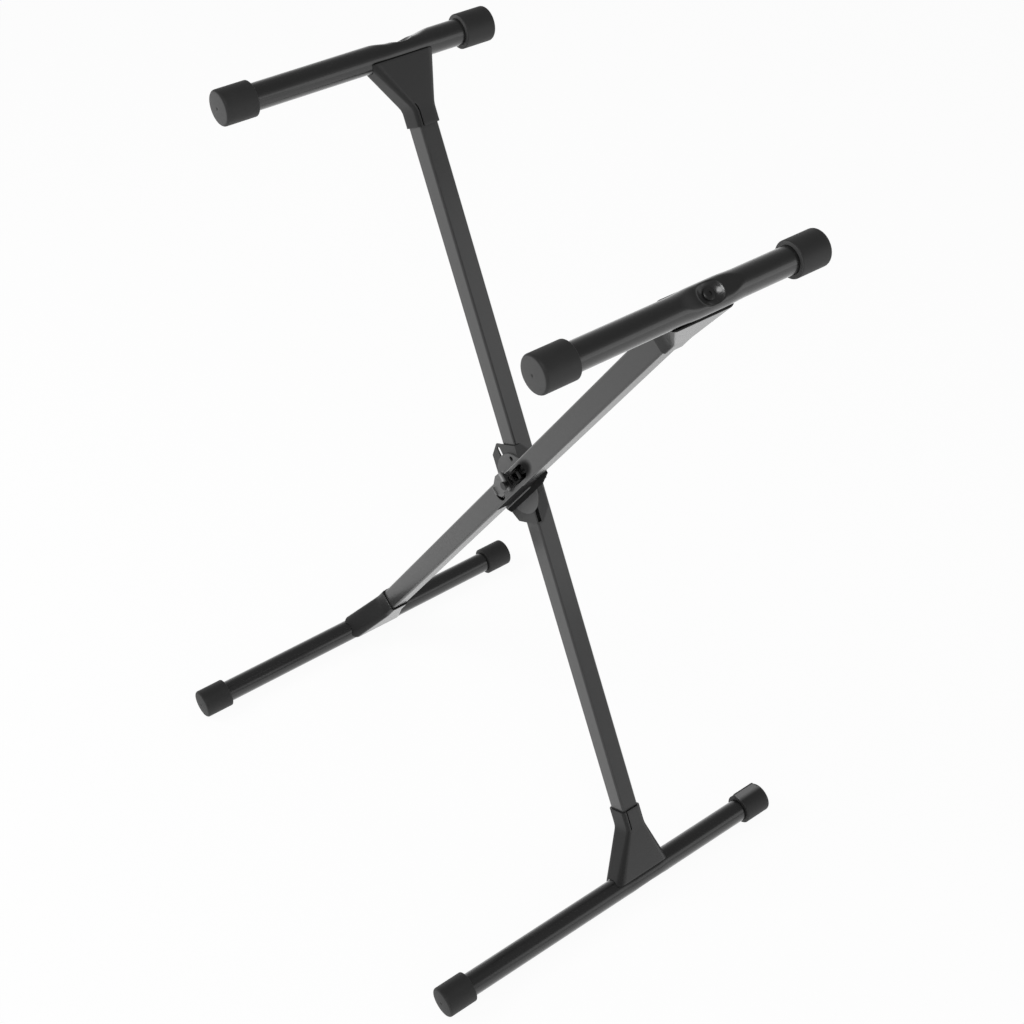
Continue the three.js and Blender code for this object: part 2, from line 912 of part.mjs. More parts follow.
/** A helix along Y round the lock pin. */
class Helix extends THREE.Curve {
  constructor(y0, y1) {
    super();
    this.y0 = y0;
    this.y1 = y1;
  }

  getPoint(t, target = new THREE.Vector3()) {
    const angle = 2 * Math.PI * springTurns * t;
    return target.set(
      springCoilRadius * Math.cos(angle),
      this.y0 + (this.y1 - this.y0) * t,
      lockReach + springCoilRadius * Math.sin(angle),
    );
  }
}

function coilSpring(y0, y1) {
  const section = new THREE.Shape();
  section.absarc(0, 0, springWire / 2, 0, 2 * Math.PI);
  const geometry = new THREE.ExtrudeGeometry(
    new THREE.Shape(section.getPoints(5).slice(0, 5)),
    { steps: springTurns * 8, extrudePath: new Helix(y0, y1), bevelEnabled: false },
  );
  return solid(geometry);
}

/** The pressed lever, drawn flat on the leg in a frame whose origin is on its hinge. */
function addLever(group) {
  const y = leverOuterY - leverHingeY;
  const at = (distance) => distance - leverHinge;
  const upperX = -legDepth / 2 - clearance - leverSheet;
  const tab = plateXZ(
    [
      [upperX, at(leverTabSlant)],
      [-leverTabInner, at(leverTabStart)],
      [leverTabInner / 2, at(leverTabStart)],
      [leverTabInner, at(leverTabStart + leverTabInner / 2)],
      [leverTailHalf, at(leverTabShoulder)],
      [leverTailHalf, at(leverTailEnd)],
      [-leverTailHalf, at(leverTailEnd)],
      [-leverTailHalf, at(leverTabEnd)],
      [upperX, at(leverTabShoulder)],
    ],
    y,
    leverSheet,
  );
  const forkHalf = leverTailHalf - earThickness;
  const forkGap = box(
    -forkHalf,
    forkHalf,
    y - 1,
    y + leverSheet + 1,
    at(leverTabEnd),
    at(leverTailEnd + 1),
  );
  const lip = box(
    upperX,
    upperX + leverSheet,
    y,
    y + leverSheet + leverLip,
    at(leverTabSlant + 1),
    at(leverTabShoulder - 1),
  );
  const turnedUpEnd = box(
    1 - leverTabInner,
    leverTabInner / 2 - 1,
    y - leverEndRise,
    y + leverSheet,
    at(leverTabStart),
    at(leverTabStart + leverSheet),
  );
  const ears = [leverTailHalf - earThickness, -leverTailHalf].map((x) =>
    join(
      rodAlongX(earRadius, 0, 0, x, x + earThickness, 20),
      box(x, x + earThickness, y, 0, -earRadius, earRadius),
    ),
  );
  const slotHalf = lockPinRadius + clearance + 0.5;
  const slot = slotAlongY(
    slotHalf,
    [0, at(lockReach) - 2],
    [0, at(lockReach) + 2],
    y - 1,
    y + leverSheet + 1,
    16,
  );
  const notch = rodAlongY(
    fingerNotch,
    leverTabInner + 1,
    at(fingerNotchAt),
    y - 1,
    y + leverSheet + 1,
    20,
  );
  const lever = cut(
    join(cut(tab, forkGap), lip, turnedUpEnd, ...ears),
    slot,
    notch,
    rodAlongX(hingePinRadius + clearance, 0, 0, -legDepth, legDepth, 16),
  );
  const mesh = addPiece(group, "release_lever", lever, hubCoat);
  mesh.position.set(0, leverHingeY, leverHinge);
  mesh.rotation.x = -leverRestLift;
}

// ---- Assembly ----

const rearLeg = {
  group: legGroup(-1),
  prefix: "rear",
  legY: rearLegY,
  outer: 1,
  leanSide: -1,
};
const frontLeg = {
  group: legGroup(1),
  prefix: "front",
  legY: frontLegY,
  outer: -1,
  leanSide: 1,
};

for (const leg of [rearLeg, frontLeg]) {
  legEnd(leg, "arm");
  legEnd(leg, "foot");
}
rearHub(rearLeg.group);
frontHub(frontLeg.group);

export default stand;
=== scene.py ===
import json
import math

import bmesh
import bpy
from mathutils import Matrix, Vector


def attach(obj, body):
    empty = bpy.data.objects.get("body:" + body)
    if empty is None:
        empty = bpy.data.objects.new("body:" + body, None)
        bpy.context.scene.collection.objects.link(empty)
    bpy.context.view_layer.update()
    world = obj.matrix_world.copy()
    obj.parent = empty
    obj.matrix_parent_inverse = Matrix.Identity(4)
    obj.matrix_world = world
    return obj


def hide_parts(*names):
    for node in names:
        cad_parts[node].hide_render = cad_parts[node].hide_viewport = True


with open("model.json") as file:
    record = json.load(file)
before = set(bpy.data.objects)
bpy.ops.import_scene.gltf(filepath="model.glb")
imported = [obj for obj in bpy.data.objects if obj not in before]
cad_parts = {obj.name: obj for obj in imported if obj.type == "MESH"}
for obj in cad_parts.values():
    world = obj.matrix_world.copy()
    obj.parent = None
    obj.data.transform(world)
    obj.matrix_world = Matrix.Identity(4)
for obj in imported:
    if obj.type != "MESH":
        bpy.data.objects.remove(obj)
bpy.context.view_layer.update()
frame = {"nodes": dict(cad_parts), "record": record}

# ---- The stand's sizes, as in the CAD model ----

MM = 0.001

FOOT_SPREAD = 524
ARM_SPREAD = 487
AXIS_RISE = 839.5
BAR_LENGTH = {"arm": 321, "foot": 488}
LEG_Y = {"rear": 52.7, "front": 24.9}
LEAN_SIDE = {"rear": -1, "front": 1}
BODY = {"rear": "root", "front": "front_frame"}

BAR_RADIUS = 13.5
BAR_WALL = 1.8
LEG_WIDTH = 22
LEG_DEPTH = 25
LEG_WALL = 1.5
LEG_CORNER = 2.6
CLEARANCE = 0.3

CAP_RADIUS = 18
CAP_LENGTH = 37
CAP_END = 4
LEVELLER_REACH = 12.5

SHEET = 2
FLARE_FRONT = 34
FLARE_REAR = 17
GUSSET = {
    "arm": {"plate_end": 5, "knee": 62, "collar_end": 77},
    "foot": {"plate_end": 9, "knee": 70, "collar_end": 91},
}

LEVER_HINGE = 50
LEVER_HINGE_DEPTH = 4.1
HINGE_PIN_RADIUS = 2
WINDOW_START = 40.5
WINDOW_END = 74
WINDOW_HALF = 8
ACCESS_RADIUS = 9.6

LEG_RUN = (FOOT_SPREAD + ARM_SPREAD) / 2
LEAN = math.atan2(LEG_RUN, AXIS_RISE)
LEG_LENGTH = math.hypot(LEG_RUN, AXIS_RISE)
FOOT_REACH = LEG_LENGTH * FOOT_SPREAD / (FOOT_SPREAD + ARM_SPREAD)
REACH = {"arm": LEG_LENGTH - FOOT_REACH, "foot": -FOOT_REACH}
SIDE = {"arm": 1, "foot": -1}
PIVOT_Z = CAP_RADIUS + FOOT_REACH * math.cos(LEAN)

# ---- Sizes that the looks add ----

PRESS_SHALLOW = 2.6
PRESS_DEEP = 5.5
PRESS_REACH = 38
PRESS_RIM = 14.5
PRESS_SEAT = 6.6
PRESS_BULGE = 0.07
PRESS_CREASE = 4.2
PRESS_CREASE_GROWTH = 1.6
DIMPLE_CREASE = 0.8
PRESS_MARGIN = 2

HEAD_FLATNESS = 0.55
HEAD_FOOT = 0.6

CAP_EDGE = 3.0
CAP_DOME = 0.7
CAP_LIP = 1.1
CORNER_START = 3
CORNER_RISE = 3.5
CORNER_FULL = 9
CORNER_ROUNDING = 0.9
CORNER_SECTOR = math.radians(60)
POINT_RADIUS = 0.01
# The moulding's gate mark in the middle of a cap's end: (radius, depth).
GATE_PIT = ((POINT_RADIUS, 0.9), (0.65, 0.8), (1.3, 0.25), (1.8, 0.02))

SLIT_WIDTH = 1.2
SLIT_LENGTH = 24
GUSSET_BEND = 2.7
GUSSET_BEND_GROWTH = 4.5
GUSSET_EDGE = 0.45
KNEE_SOFTNESS = 0.12
WINDOW_EDGE = 0.3
CUTTER_OUTSIDE = 1
CUTTER_INSIDE = 2

# How finely the round and bent shapes are drawn.
BAR_SIDES = 96
PRESS_STEPS = 64
CAP_SIDES = 120
CAP_STEPS = 8
LIP_STEPS = 4
BEND_STEPS = 8
FLAT_STEPS = 6
GUSSET_STEPS = 22
SLIT_STEPS = 6
LEG_CORNER_STEPS = 7
WINDOW_STEPS = 16
ROD_SIDES = 40
HINGE_HOLE_SIDES = 24


def leg_frame(leg):
    """Millimetres in a leg's frame to metres in the stand's."""
    return (
        Matrix.Scale(MM, 4)
        @ Matrix.Translation((0, 0, PIVOT_Z))
        @ Matrix.Rotation(LEAN_SIDE[leg] * LEAN, 4, "Y")
    )


# ---- Shader maths ----


class Wire:
    """An output socket, so that shader maths reads as a Python expression."""

    def __init__(self, paint, socket):
        self.paint = paint
        self.socket = socket

    def _maths(self, operation, first, second):
        return self.paint.node(
            "ShaderNodeMath", {"operation": operation}, {0: first, 1: second}
        )

    def __add__(self, other):
        return self._maths("ADD", self, other)

    __radd__ = __add__

    def __mul__(self, other):
        return self._maths("MULTIPLY", self, other)

    __rmul__ = __mul__

    def __sub__(self, other):
        return self._maths("SUBTRACT", self, other)

    def __rsub__(self, other):
        return self._maths("SUBTRACT", other, self)

    def __pow__(self, other):
        return self._maths("POWER", self, other)


class Paint:
    """The node tree of a material or a world."""

    def __init__(self, owner):
        self.owner = owner
        owner.use_nodes = True
        self.tree = owner.node_tree
        self.tree.nodes.clear()

    def node(self, kind, settings=None, sockets=None, output=0):
        """One node: its settings go first, then its sockets' values or links."""
        made = self.tree.nodes.new(kind)
        for key, value in (settings or {}).items():
            setattr(made, key, value)
        for key, value in (sockets or {}).items():
            if isinstance(value, Wire):
                self.tree.links.new(value.socket, made.inputs[key])
            else:
                made.inputs[key].default_value = value
        return Wire(self, made.outputs[output] if made.outputs else None)

    def place(self, stretch=(1, 1, 1)):
        """The piece's own coordinates, in metres, stretched where a grain has a direction."""
        coordinates = self.node("ShaderNodeTexCoord", output="Object")
        return self.node(
            "ShaderNodeVectorMath",
            {"operation": "MULTIPLY"},
            {0: coordinates, 1: stretch},
        )

    def reach(self, direction):
        """How far a point lies from the stand's origin in one direction, in millimetres."""
        metres = self.node(
            "ShaderNodeVectorMath",
            {"operation": "DOT_PRODUCT"},
            {0: self.place(), 1: direction},
            output="Value",
        )
        return metres * (1 / MM)

    def faces_along_bars(self):
        """1 where the surface faces along the bars, 0 where it faces square to them."""
        normal = self.node("ShaderNodeNewGeometry", output="Normal")
        along_bars = self.node("ShaderNodeSeparateXYZ", {}, {"Vector": normal}, output="Y")
        return along_bars * along_bars

    def noise(self, scale, detail, roughness=0.5, stretch=(1, 1, 1)):
        """A grain from 0 to 1, with about as many lumps in a metre as its scale."""
        return self.node(
            "ShaderNodeTexNoise",
            {},
            {
                "Vector": self.place(stretch),
                "Scale": scale,
                "Detail": detail,
                "Roughness": roughness,
            },
        )

    def ramp(self, value, low, high):
        """0 at low and 1 at high, smooth between. low may be the larger one."""
        return self.node(
            "ShaderNodeMapRange",
            {"interpolation_type": "SMOOTHSTEP"},
            {"Value": value, "From Min": low, "From Max": high},
        )

    def near(self, value, middle, outer, inner):
        """0 further than outer from the middle, and 1 nearer than inner."""
        return self.ramp((value - middle) ** 2, outer ** 2, inner ** 2)

    def mix(self, share, first, second):
        """Two colours mixed. The node's colour sockets have numbers: their names repeat."""
        return self.node(
            "ShaderNodeMix",
            {"data_type": "RGBA"},
            {0: share, 6: first, 7: second},
            output=2,
        )

    def finish(self, fixed, varying, bump):
        """The surface: fixed sockets, varying ones, and a bump of (height, strength, mm)."""
        height, strength, depth = bump
        normal = self.node(
            "ShaderNodeBump",
            {},
            {"Height": height, "Strength": strength, "Distance": depth * MM},
        )
        surface = self.node(
            "ShaderNodeBsdfPrincipled", {}, {**fixed, **varying, "Normal": normal}
        )
        self.node("ShaderNodeOutputMaterial", {}, {"Surface": surface})
        return self.owner


def grey(level, warmth=0.0):
    """A linear colour: grey, or a little warmer."""
    return (level * (1 + warmth), level, level * (1 - warmth), 1)


# ---- Where shade and highlights are painted ----

# Places are measured along a leg from the pivot, across the leg, and along the bars (depth).
# A pair says where a mark is absent and where it is full. A reach is a distance from a middle.
X_AXIS = (1, 0, 0)
Y_AXIS = (0, 1, 0)
Z_AXIS = (0, 0, 1)

GUIDE_MIDDLE = 11.5
GUIDE_REACH = (40, 37.4)
# Where a highlight is painted along the front leg's far lower edge.
LIT_EDGE_ACROSS = (9.8, 10.6)
LIT_EDGE_DEPTH = (33.5, 34.5)
# Painted shade on the front leg: a band on its underside beside the guide plate, and a patch
# round the upper end of the lever's window.
SHADE_BAND_ACROSS = (11.8, 12.2)
SHADE_PATCH_MIDDLE = 72
SHADE_PATCH_HALF_LENGTH = 21.74
SHADE_PATCH_HALF_WIDTH = 11.36
# In squared shares of the patch's half length and width.
SHADE_PATCH_FADE = (1.0, 0.15)

# Painted shade on the rear leg, seen through the saddle plate's relief slot.
SLOT_MIDDLE = -37.5
SLOT_REACH = (11.83, 10)
SLOT_ACROSS = (11.2, 11.8)
SLOT_DEPTH = (48.5, 47.5)

# A thin painted highlight on the guide plate below the front leg's lower edge.
GUIDE_LINE_UNDER = (12.1, 12.7)
GUIDE_LINE_OVER = (14.2, 13.6)
GUIDE_LINE_TOP = (28, 22)

# Painted shade on the lever's fork inside the leg's window.
LEVER_FORK = (31, 36)
# A painted highlight along the lever tab's shoulder.
SHOULDER_WAVE = 4
SHOULDER_START = (27.5, 29.5)
SHOULDER_END = (32.0, 30.5)

# The painted highlight on the levelling cap's flat: below the cap's top, and inward from its
# corner.
LEVELLER_FLAT_BELOW = (0.7, 0.2)
LEVELLER_FLAT_START = (1.1, 2.7)
LEVELLER_FLAT_END = (14.5, 6.5)

# Thresholds of Paint.faces_along_bars.
GUSSET_PLATES = (0.25, 0.05)
GUSSET_GLOSS_THIN = 0.05
GUSSET_GLOSS_FULL = 0.80


def along_leg(paint, leg):
    """Millimetres along a leg from the pivot, and millimetres across it."""
    turn = LEAN_SIDE[leg] * LEAN
    along = paint.reach((math.sin(turn), 0, math.cos(turn)))
    across = paint.reach((math.cos(turn), 0, -math.sin(turn)))
    return along - PIVOT_Z * math.cos(turn), across + PIVOT_Z * math.sin(turn)


def beside_guide(paint, along):
    """1 along the part of the front leg that the guide plate lies against."""
    return paint.near(along, GUIDE_MIDDLE, *GUIDE_REACH)


def front_leg_highlight(paint):
    """1 on the leg's far lower edge beside the guide plate, where the rounded corner's
    highlight is painted pale.
    """
    along, across = along_leg(paint, "front")
    depth = paint.reach(Y_AXIS)
    edge = paint.ramp(across, *LIT_EDGE_ACROSS) * paint.ramp(depth, *LIT_EDGE_DEPTH)
    return edge * beside_guide(paint, along)


def front_leg_shade(paint):
    """1 where shade is painted dark: round the upper end of the lever's window and on the
    underside beside the guide plate. 0 away from them."""
    along, across = along_leg(paint, "front")
    lengthwise = (along - SHADE_PATCH_MIDDLE) * (1 / SHADE_PATCH_HALF_LENGTH)
    crosswise = across * (1 / SHADE_PATCH_HALF_WIDTH)
    patch = paint.ramp(lengthwise ** 2 + crosswise ** 2, *SHADE_PATCH_FADE)
    band = paint.ramp(across, *SHADE_BAND_ACROSS) * beside_guide(paint, along)
    return paint.node("ShaderNodeMath", {"operation": "MAXIMUM"}, {0: patch, 1: band})


def rear_leg_shade(paint):
    """1 where shade is painted dark on the rear leg, behind the saddle plate's relief slot."""
    along, across = along_leg(paint, "rear")
    depth = paint.reach(Y_AXIS)
    within = paint.near(along, SLOT_MIDDLE, *SLOT_REACH)
    return within * paint.ramp(across, *SLOT_ACROSS) * paint.ramp(depth, *SLOT_DEPTH)


def guide_highlight(paint):
    """1 along a thin line on the guide plate, just below the front leg's lower edge, where a
    highlight is painted pale.
    """
    along, across = along_leg(paint, "front")
    line = paint.ramp(across, *GUIDE_LINE_UNDER) * paint.ramp(across, *GUIDE_LINE_OVER)
    return line * paint.ramp(along, *GUIDE_LINE_TOP)


def lever_shade(paint):
    """0 on the lever's finger tab, 1 on the fork inside the leg, where shade is painted dark.
    """
    along, _ = along_leg(paint, "front")
    return paint.ramp(along, *LEVER_FORK)


def lever_highlight(paint):
    """1 on a wavy band across the lever tab's shoulder, where a highlight is painted pale."""
    along, _ = along_leg(paint, "front")
    wavy = along + (paint.noise(scale=160, detail=3) - 0.5) * SHOULDER_WAVE
    return paint.ramp(wavy, *SHOULDER_START) * paint.ramp(wavy, *SHOULDER_END)


def leveller_highlight(paint):
    """1 on the flat beside the levelling cap's corner, where a highlight is painted pale,
    fading away from the corner.
    """
    inward = paint.reach(X_AXIS) - (FOOT_SPREAD / 2 - LEVELLER_REACH)
    below = 2 * CAP_RADIUS - paint.reach(Z_AXIS)
    flat = paint.ramp(below, *LEVELLER_FLAT_BELOW)
    band = paint.ramp(inward, *LEVELLER_FLAT_START) * paint.ramp(inward, *LEVELLER_FLAT_END)
    return flat * band


def flat_gloss(paint):
    """The clear layer's weight on a gusset: full on its plates, thin on its bent sides."""
    plates = paint.ramp(paint.faces_along_bars(), *GUSSET_PLATES)
    return plates * (GUSSET_GLOSS_FULL - GUSSET_GLOSS_THIN) + GUSSET_GLOSS_THIN


# ---- Materials ----

# Marks that a noise makes are pairs: where it is too low for the mark, and where it is full.
PATCH_CONTRAST = 0.18
PATCH_ROUGHNESS = 0.14
GRAIN_ROUGHNESS = 0.08
RUB_MARKS = (0.60, 0.74)
RUB_STRETCH = (1, 0.35, 1)
RUB_SHARE = 0.35
RUB_GAIN = 1.6
RUB_ROUGHNESS = 0.08
DUST_SPECKS = (0.70, 0.80)
DUSTY_PATCHES = (0.45, 0.65)
DUST = grey(0.2, 0.02)
# The grey and share of painted highlights.
HIGHLIGHT_GREY = grey(0.32)
HIGHLIGHT_SHARE = 0.8
# The grey and roughness of painted shade, where a surface lies in shadow.
SHADE_GREY = grey(0.002)
SHADE_ROUGHNESS = 0.9
PEEL_DEPTH = 0.05
PEEL_STRENGTH = 0.45
GRAIN_IN_PEEL = 0.3


def coat(name, level, roughness, peel, dust_share, gloss, shade=None, highlight=None):
    """A baked black powder coat: orange peel, fine grain, handling marks and dust. gloss is
    the clear layer's weight, its roughness, and the specular level under it. The last two
    arguments say where shade is painted dark into the coat and where a highlight is painted
    pale."""
    paint = Paint(bpy.data.materials.new(name))
    patches = paint.noise(scale=14, detail=5, roughness=0.6)
    orange_peel = paint.noise(scale=650, detail=2)
    grain = paint.noise(scale=3200, detail=1)
    handling = paint.noise(scale=46, detail=8, roughness=0.72, stretch=RUB_STRETCH)
    rubbed = paint.ramp(handling, *RUB_MARKS)
    specks = paint.ramp(paint.noise(scale=1500, detail=3), *DUST_SPECKS)
    dust = specks * paint.ramp(patches, *DUSTY_PATCHES)
    colour = paint.mix(
        patches, grey(level * (1 - PATCH_CONTRAST)), grey(level * (1 + PATCH_CONTRAST))
    )
    colour = paint.mix(rubbed * RUB_SHARE, colour, grey(level * RUB_GAIN))
    colour = paint.mix(dust * dust_share, colour, DUST)
    rough = roughness + (patches - 0.5) * PATCH_ROUGHNESS
    rough = rough + (grain - 0.5) * GRAIN_ROUGHNESS + rubbed * RUB_ROUGHNESS
    weight, clear_roughness, specular = gloss
    if callable(weight):
        weight = weight(paint)
    # Painted highlight: a paler grey where the mask for painted highlights is full.
    if highlight:
        colour = paint.mix(highlight(paint) * HIGHLIGHT_SHARE, colour, HIGHLIGHT_GREY)
    # Painted shade: near-black colour, a rougher surface and no clear layer where the shade
    # mask is full.
    if shade:
        dark = shade(paint)
        colour = paint.mix(dark, colour, SHADE_GREY)
        rough = rough + dark * (SHADE_ROUGHNESS - roughness)
        weight = (1 - dark) * weight
    height = orange_peel * (1 - GRAIN_IN_PEEL) + grain * GRAIN_IN_PEEL
    return paint.finish(
        {
            "Metallic": 0.0,
            "IOR": 1.5,
            "Coat Roughness": clear_roughness,
            "Specular IOR Level": specular,
        },
        {"Base Color": colour, "Roughness": rough, "Coat Weight": weight},
        (height, PEEL_STRENGTH * peel, PEEL_DEPTH),
    )


RUBBER_DARK = grey(0.008)
RUBBER_BLOOM = grey(0.018)
RUBBER_ROUGHNESS = 0.50
BLOOM_ROUGHNESS = 0.16
SCUFF = grey(0.040, 0.02)
SCUFF_MARKS = (0.58, 0.72)
SCUFF_STRETCH = (1, 0.5, 1)
SCUFF_SHARE = 0.4
SCUFF_ROUGHNESS = 0.12
# The grey of painted light on the caps' end faces, and its shares.
END_LIGHT_GREY = grey(0.06)
# Where the caps' end faces get painted light: thresholds of Paint.faces_along_bars, and
# heights.
END_LIGHT_FACING = (0.6, 0.95)
END_LIGHT_HEIGHT = (0, 900)
END_LIGHT_SHARE = 0.5
END_LIGHT_ON_BLOOM = 0.6
# The grey and share of a painted highlight on rubber.
RUBBER_HIGHLIGHT_GREY = grey(0.19)
RUBBER_HIGHLIGHT_SHARE = 0.9
SKIN_DEPTH = 0.05
SKIN_STRENGTH = 0.5


def rubber(name, highlight=None):
    """Moulded rubber: fine eroded skin, greyish bloom and scuffs, and painted light that makes
    the end faces paler the higher they are. The last argument says where a highlight is
    painted pale."""
    paint = Paint(bpy.data.materials.new(name))
    bloom = paint.noise(scale=30, detail=6, roughness=0.65)
    skin = paint.noise(scale=1800, detail=3, roughness=0.6)
    handling = paint.noise(scale=90, detail=9, roughness=0.78, stretch=SCUFF_STRETCH)
    scuffs = paint.ramp(handling, *SCUFF_MARKS)
    colour = paint.mix(bloom, RUBBER_DARK, RUBBER_BLOOM)
    colour = paint.mix(scuffs * SCUFF_SHARE, colour, SCUFF)
    # Painted light: the end faces are paler, more so the higher they stand.
    ends = paint.ramp(paint.faces_along_bars(), *END_LIGHT_FACING)
    end_light = ends * paint.ramp(paint.reach(Z_AXIS), *END_LIGHT_HEIGHT)
    colour = paint.mix(end_light * (END_LIGHT_SHARE + bloom * END_LIGHT_ON_BLOOM), colour, END_LIGHT_GREY)
    # Painted highlight where the mask is full.
    if highlight:
        colour = paint.mix(highlight(paint) * RUBBER_HIGHLIGHT_SHARE, colour, RUBBER_HIGHLIGHT_GREY)
    rough = RUBBER_ROUGHNESS + bloom * BLOOM_ROUGHNESS + scuffs * SCUFF_ROUGHNESS
    return paint.finish(
        {"Metallic": 0.0, "IOR": 1.5},
        {"Base Color": colour, "Roughness": rough},
        (skin, SKIN_STRENGTH, SKIN_DEPTH),
    )


STAIN_CONTRAST = 0.2
STAIN_ROUGHNESS = 0.2
STAIN_DULLING = 0.3
BRIGHT_SPOTS = (0.62, 0.74)
BRIGHT_SHARE = 0.5
BRIGHT_GAIN = 2.4
BRIGHTEST = 0.5
TOOL_LINE_STRETCH = (1, 1, 8)
TOOL_LINE_ROUGHNESS = 0.12
TOOL_LINE_DEPTH = 0.03
TOOL_LINE_STRENGTH = 0.3


def steel(name, level, metallic, roughness):
    """Turned or pressed steel: fine tool lines, stains and small bright worn spots."""
    paint = Paint(bpy.data.materials.new(name))
    lines = paint.noise(scale=500, detail=4, roughness=0.6, stretch=TOOL_LINE_STRETCH)
    stains = paint.noise(scale=120, detail=6, roughness=0.7)
    bright = paint.ramp(paint.noise(scale=260, detail=8, roughness=0.75), *BRIGHT_SPOTS)
    colour = paint.mix(
        stains, grey(level * (1 - STAIN_CONTRAST)), grey(level * (1 + STAIN_CONTRAST))
    )
    colour = paint.mix(
        bright * BRIGHT_SHARE, colour, grey(min(BRIGHTEST, level * BRIGHT_GAIN))
    )
    rough = roughness + (stains - 0.5) * STAIN_ROUGHNESS
    rough = rough + (lines - 0.5) * TOOL_LINE_ROUGHNESS
    return paint.finish(
        {"IOR": 1.5},
        {
            "Base Color": colour,
            "Roughness": rough,
            "Metallic": metallic * (1 - STAIN_DULLING * stains),
        },
        (lines, TOOL_LINE_STRENGTH, TOOL_LINE_DEPTH),
    )


# What pieces of one kind share. level, in COATS, is the coat's grey.
LEG = {"roughness": 0.40, "peel": 0.7, "dust_share": 0.2, "gloss": (0.66, 0.16, 0.25)}
BAR = {"roughness": 0.40, "peel": 0.5, "dust_share": 0.15, "gloss": (1.0, 0.18, 0.3)}
PLATE = {"roughness": 0.46, "peel": 0.9, "dust_share": 0.25, "gloss": (flat_gloss, 0.16, 0.25)}
HUB = {"roughness": 0.50, "peel": 0.7, "dust_share": 0.2, "gloss": (0.0, 0.1, 0.4)}
PLASTIC = {"roughness": 0.75, "peel": 0.4, "dust_share": 0.05, "gloss": (0.0, 0.1, 0.25)}

COATS = {
    "rear_leg_coat": {**LEG, "level": 0.027, "shade": rear_leg_shade},
    "front_leg_coat": {
        **LEG,
        "level": 0.024,
        "gloss": (0.62, 0.16, 0.25),
        "shade": front_leg_shade,
        "highlight": front_leg_highlight,
    },
    "bar_coat": {**BAR, "level": 0.007},
    "gusset_coat": {**PLATE, "level": 0.014},
    "hub_coat": {**HUB, "level": 0.036},
    "disc_coat": {**HUB, "level": 0.095},
    "lever_coat": {**HUB, "level": 0.13, "shade": lever_shade, "highlight": lever_highlight},
    "black_plastic": {**PLASTIC, "level": 0.003},
    "guide_coat": {**PLASTIC, "level": 0.003, "highlight": guide_highlight},
}

FINISH = {name: coat(name, **values) for name, values in COATS.items()}
FINISH["cap_rubber"] = rubber("cap_rubber")
FINISH["leveller_rubber"] = rubber("leveller_rubber", leveller_highlight)
FINISH["black_steel"] = steel("black_steel", level=0.020, metallic=0.4, roughness=0.36)
FINISH["plated_steel"] = steel("plated_steel", level=0.5, metallic=0.95, roughness=0.32)

# ---- Mesh helpers ----

# Edges that turn by more than SHARP_ANGLE stay sharp in the shading. Faces that turn by less
# than FLAT_ANGLE are joined.
SHARP_ANGLE = math.radians(38)
FLAT_ANGLE = math.radians(0.6)
SAME_POINT = 0.002


def loops_to_faces(mesh, first, second):
    """A band of faces between two closed rings."""
    count = len(first)
    for i in range(count):
        j = (i + 1) % count
        mesh.faces.new((first[i], first[j], second[j], second[i]))


def shell(rings_out, rings_in):
    """A wall between an outer and an inner skin, each a list of closed rings of points."""
    mesh = bmesh.new()
    out = [[mesh.verts.new(p) for p in ring] for ring in rings_out]
    inn = [[mesh.verts.new(p) for p in ring] for ring in rings_in]
    for a, b in zip(out, out[1:]):
        loops_to_faces(mesh, a, b)
    for a, b in zip(inn, inn[1:]):
        loops_to_faces(mesh, b, a)
    loops_to_faces(mesh, inn[0], out[0])
    loops_to_faces(mesh, out[-1], inn[-1])
    bmesh.ops.recalc_face_normals(mesh, faces=mesh.faces)
    return mesh


def body_of_rings(rings):
    """A closed body through rings, with one face over each end."""
    mesh = bmesh.new()
    made = [[mesh.verts.new(p) for p in ring] for ring in rings]
    for a, b in zip(made, made[1:]):
        loops_to_faces(mesh, a, b)
    mesh.faces.new(made[0])
    mesh.faces.new(made[-1])
    bmesh.ops.recalc_face_normals(mesh, faces=mesh.faces)
    return mesh


def rod_mesh(radius, start, end, sides=ROD_SIDES):
    """A rod between two points."""
    mesh = bmesh.new()
    start, end = Vector(start), Vector(end)
    axis = end - start
    turned = axis.to_track_quat("Z", "Y").to_matrix().to_4x4()
    bmesh.ops.create_cone(
        mesh,
        cap_ends=True,
        segments=sides,
        radius1=radius,
        radius2=radius,
        depth=axis.length,
        matrix=Matrix.Translation((start + end) / 2) @ turned,
    )
    return mesh


def from_node(node):
    """The CAD node's own shape in millimetres, with its flat faces joined again."""
    mesh = bmesh.new()
    mesh.from_mesh(frame["nodes"][node].data)
    bmesh.ops.transform(mesh, matrix=Matrix.Scale(1 / MM, 4), verts=mesh.verts)
    bmesh.ops.remove_doubles(mesh, verts=mesh.verts, dist=SAME_POINT)
    bmesh.ops.dissolve_limit(
        mesh,
        angle_limit=FLAT_ANGLE,
        verts=mesh.verts,
        edges=mesh.edges,
        delimit=set(),
    )
    return mesh


def object_of(name, mesh):
    """An object in the scene that holds the mesh."""
    data = bpy.data.meshes.new(name)
    mesh.to_mesh(data)
    mesh.free()
    made = bpy.data.objects.new(name, data)
    bpy.context.scene.collection.objects.link(made)
    return made


def apply_modifiers(made):
    """Bakes the object's modifiers into its mesh."""
    bpy.context.view_layer.update()
    evaluated = made.evaluated_get(bpy.context.evaluated_depsgraph_get())
    data = bpy.data.meshes.new_from_object(evaluated)
    made.modifiers.clear()
    made.data = data


